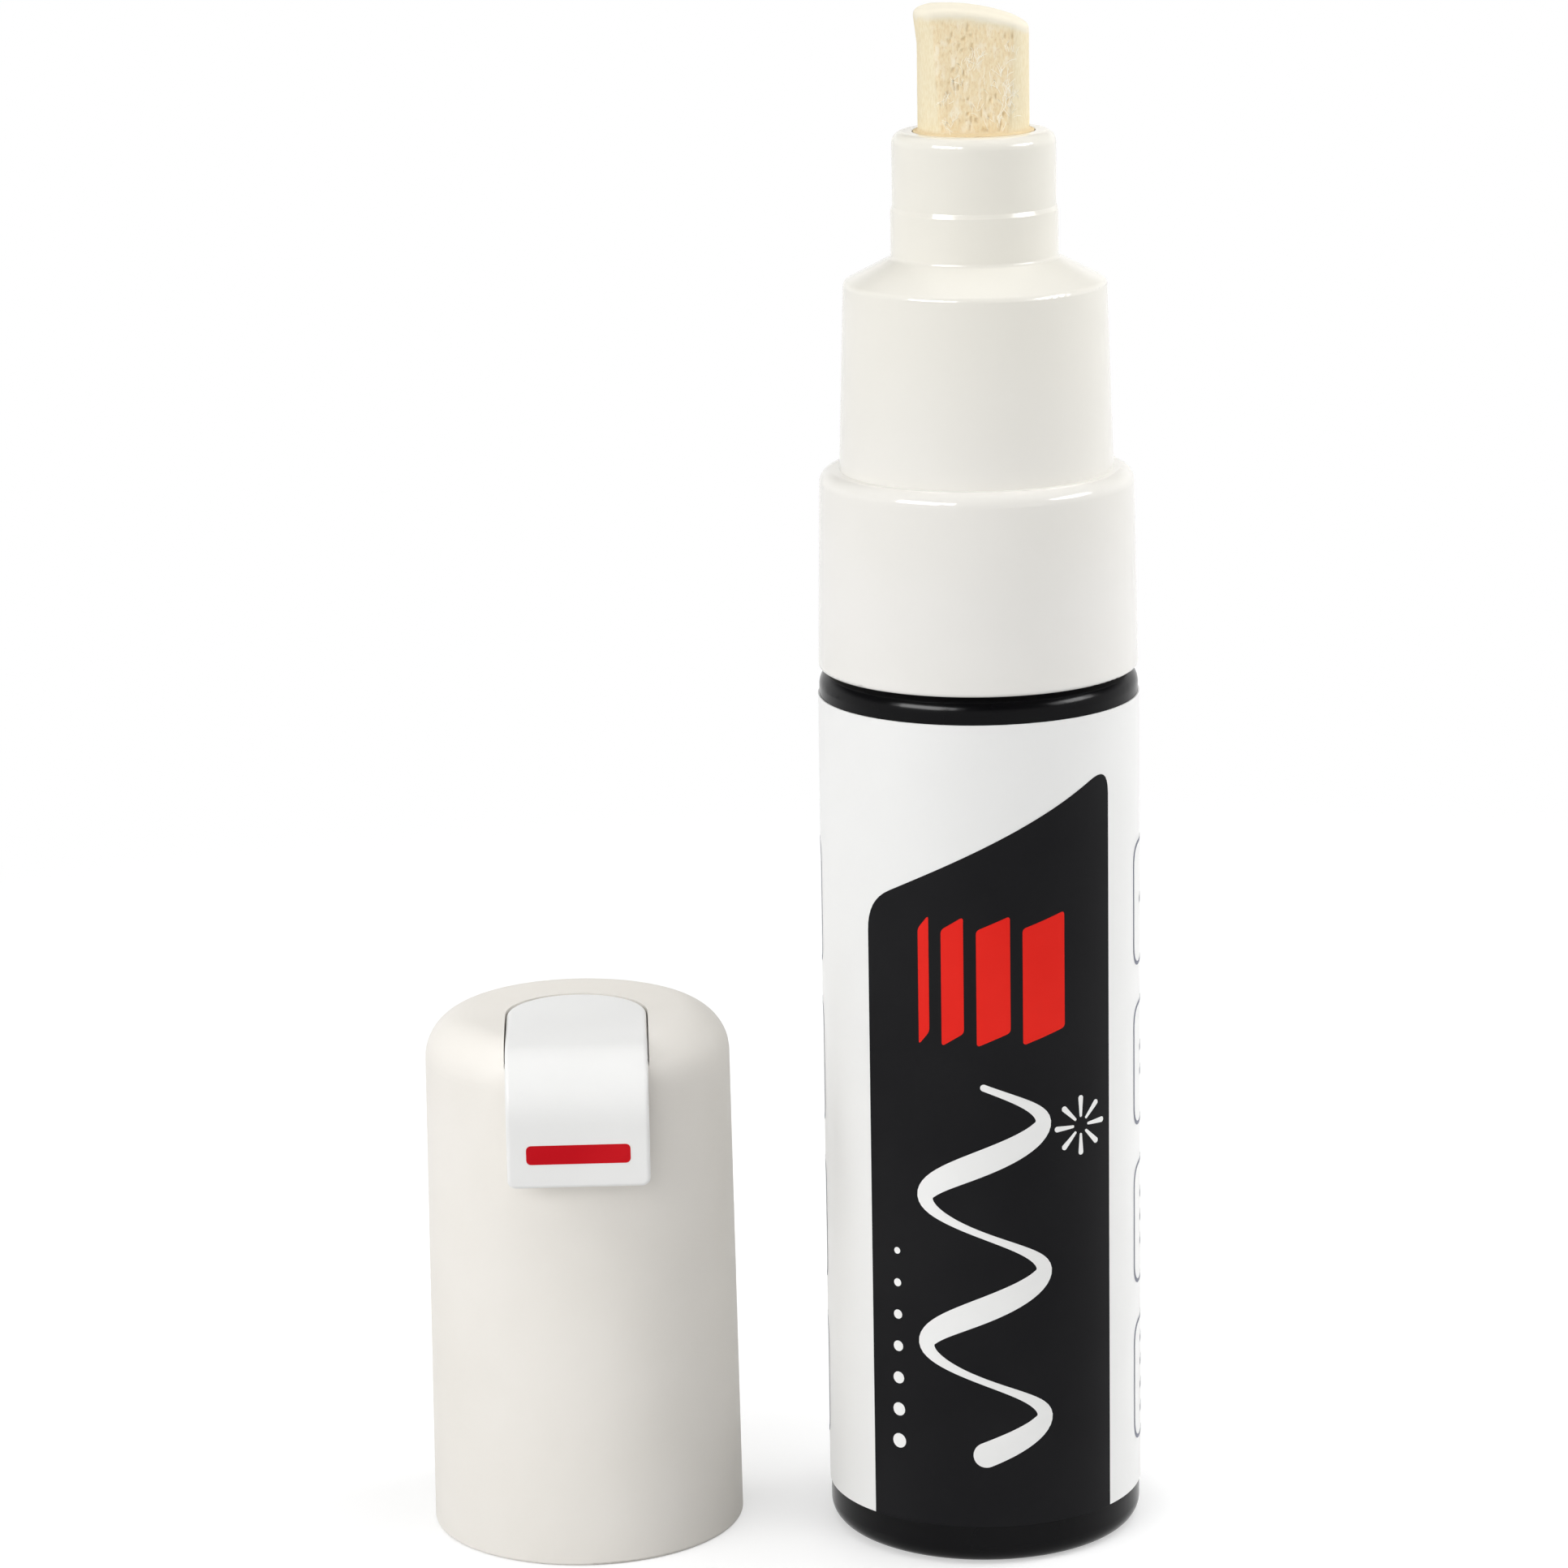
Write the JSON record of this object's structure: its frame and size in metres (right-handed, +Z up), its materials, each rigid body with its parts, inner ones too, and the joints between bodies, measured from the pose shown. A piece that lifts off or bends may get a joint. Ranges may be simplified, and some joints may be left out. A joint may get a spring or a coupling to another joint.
{
  "type": "liquid chalk marker",
  "caption": "Broad-nib valve-action chalk marker standing open on its foot: felt nib pressed against a sprung valve, and a clip cap set down beside it.",
  "frame": {"origin": "centre of the barrel's foot, on the surface that the marker stands on", "axes": "+Z up along the marker's axis towards the nib; the nib's broad face and the clip look towards -Y; the cap stands on the -X side"},
  "size_m": [0.0523, 0.0246, 0.111],
  "materials": {
    "barrel_black": "satin black polypropylene, glossy at the shoulder",
    "label_film": "matt white printed film",
    "section_white": "glossy warm white polypropylene",
    "nib_felt": "cream pressed felt with vertical pores",
    "seal_rubber": "moulded rubber",
    "valve_white": "plain moulded plastic",
    "spring_steel": "drawn stainless wire",
    "ball_steel": "polished stainless steel",
    "cap_white": "satin warm white polypropylene",
    "liner_white": "plain moulded plastic",
    "clip_white": "smooth cool white plastic"
  },
  "bodies": {
    "marker": {"barrel": "barrel_black", "barrel_label": "label_film", "front_section": "section_white", "neck_gasket": "seal_rubber", "valve_housing": "valve_white", "valve_seal": "seal_rubber", "spring_retainer": "valve_white", "valve_spring": "spring_steel"},
    "nib_unit": {"nib": "nib_felt", "valve_plunger": "valve_white"},
    "cap": {"cap_shell": "cap_white", "cap_liner": "liner_white", "cap_clip": "clip_white"},
    "ball_1": {"mixing_ball_1": "ball_steel"},
    "ball_2": {"mixing_ball_2": "ball_steel"}
  },
  "joints": [
    {"name": "nib_press", "type": "slide", "parent": "marker", "child": "nib_unit", "axis": [0, 0, -1], "range_m": [0, 0.0025], "stiffness_N_per_m": 800, "springref_m": -0.0015, "deforming": ["valve_spring"]},
    {"name": "cap_lift", "type": "slide", "parent": "marker", "child": "cap", "axis": [0, 0, 1], "range_m": [0, 0.115]},
    {"name": "ball_1_run", "type": "slide", "parent": "marker", "child": "ball_1", "axis": [0, 0, 1], "range_m": [0, 0.0555]},
    {"name": "ball_2_run", "type": "slide", "parent": "marker", "child": "ball_2", "axis": [0, 0, 1], "range_m": [0, 0.0555]}
  ]
}
